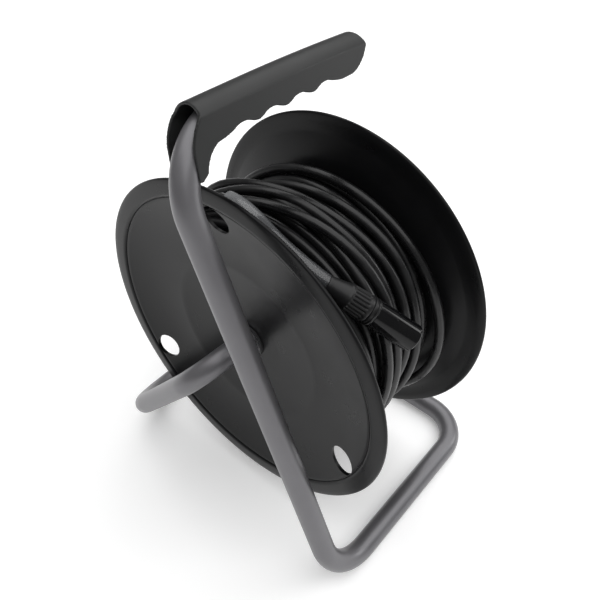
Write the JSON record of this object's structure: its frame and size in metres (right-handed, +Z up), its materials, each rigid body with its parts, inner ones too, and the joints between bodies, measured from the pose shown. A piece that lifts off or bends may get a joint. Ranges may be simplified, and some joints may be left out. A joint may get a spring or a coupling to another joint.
{
  "type": "portable cable reel",
  "caption": "Hand-carried cable reel: a black plastic drum wound with round cable, turning on a bent steel tube stand with a moulded grip, the cable's plug resting on the winding",
  "frame": {"origin": "On the floor, at the middle of the reel's width and depth (centre of the bottom of its bounding box, measured without the cable)", "axes": "+Z up. +Y runs along the drum's axle, from the side the stand's riser enters to the open side. +X runs to the side of the long leaning leg."},
  "size_m": [0.31, 0.246, 0.4009],
  "materials": {
    "stand_paint": "satin grey paint",
    "grip_plastic": "fine matt moulded texture",
    "drum_plastic": "satin black moulding",
    "black_plastic": "satin black",
    "bush_plastic": "smooth dark grey bearing plastic",
    "bright_steel": "zinc plated",
    "dark_steel": "blackened",
    "cable_jacket": "semi-matt jacket",
    "clear_plastic": "clear soft plastic",
    "connector_gloss": "glossy black",
    "contact_metal": "gold plated"
  },
  "bodies": {
    "stand": {"frame_tube": "stand_paint", "grip_shell": "grip_plastic", "grip_tube_plug": "black_plastic", "grip_pin": "dark_steel", "axle_collar": "dark_steel", "collar_set_screw": "dark_steel", "near_thrust_washer": "bright_steel", "far_thrust_washer": "bright_steel", "axle_insert": "bright_steel", "retaining_washer": "bright_steel", "spring_washer": "bright_steel", "retaining_screw": "bright_steel"},
    "drum": {"near_flange": "drum_plastic", "far_flange": "drum_plastic", "core_barrel": "drum_plastic", "hub_tube": "black_plastic", "near_hub_bush": "bush_plastic", "far_hub_bush": "bush_plastic", "core_tie_screws": "dark_steel", "cable_anchor_block": "black_plastic", "cable_anchor_screws": "dark_steel", "cable_winding": "cable_jacket", "cable_tail": "cable_jacket", "clear_sleeve": "clear_plastic", "connector_boot": "black_plastic", "connector_ring": "black_plastic", "connector_shell": "connector_gloss", "connector_insert": "black_plastic", "connector_contacts": "contact_metal"}
  },
  "joints": [
    {"name": "drum_spin", "type": "hinge", "parent": "stand", "child": "drum", "pos_m": [0, -0.00325, 0.182], "axis": [0, 1, 0], "continuous": true}
  ]
}
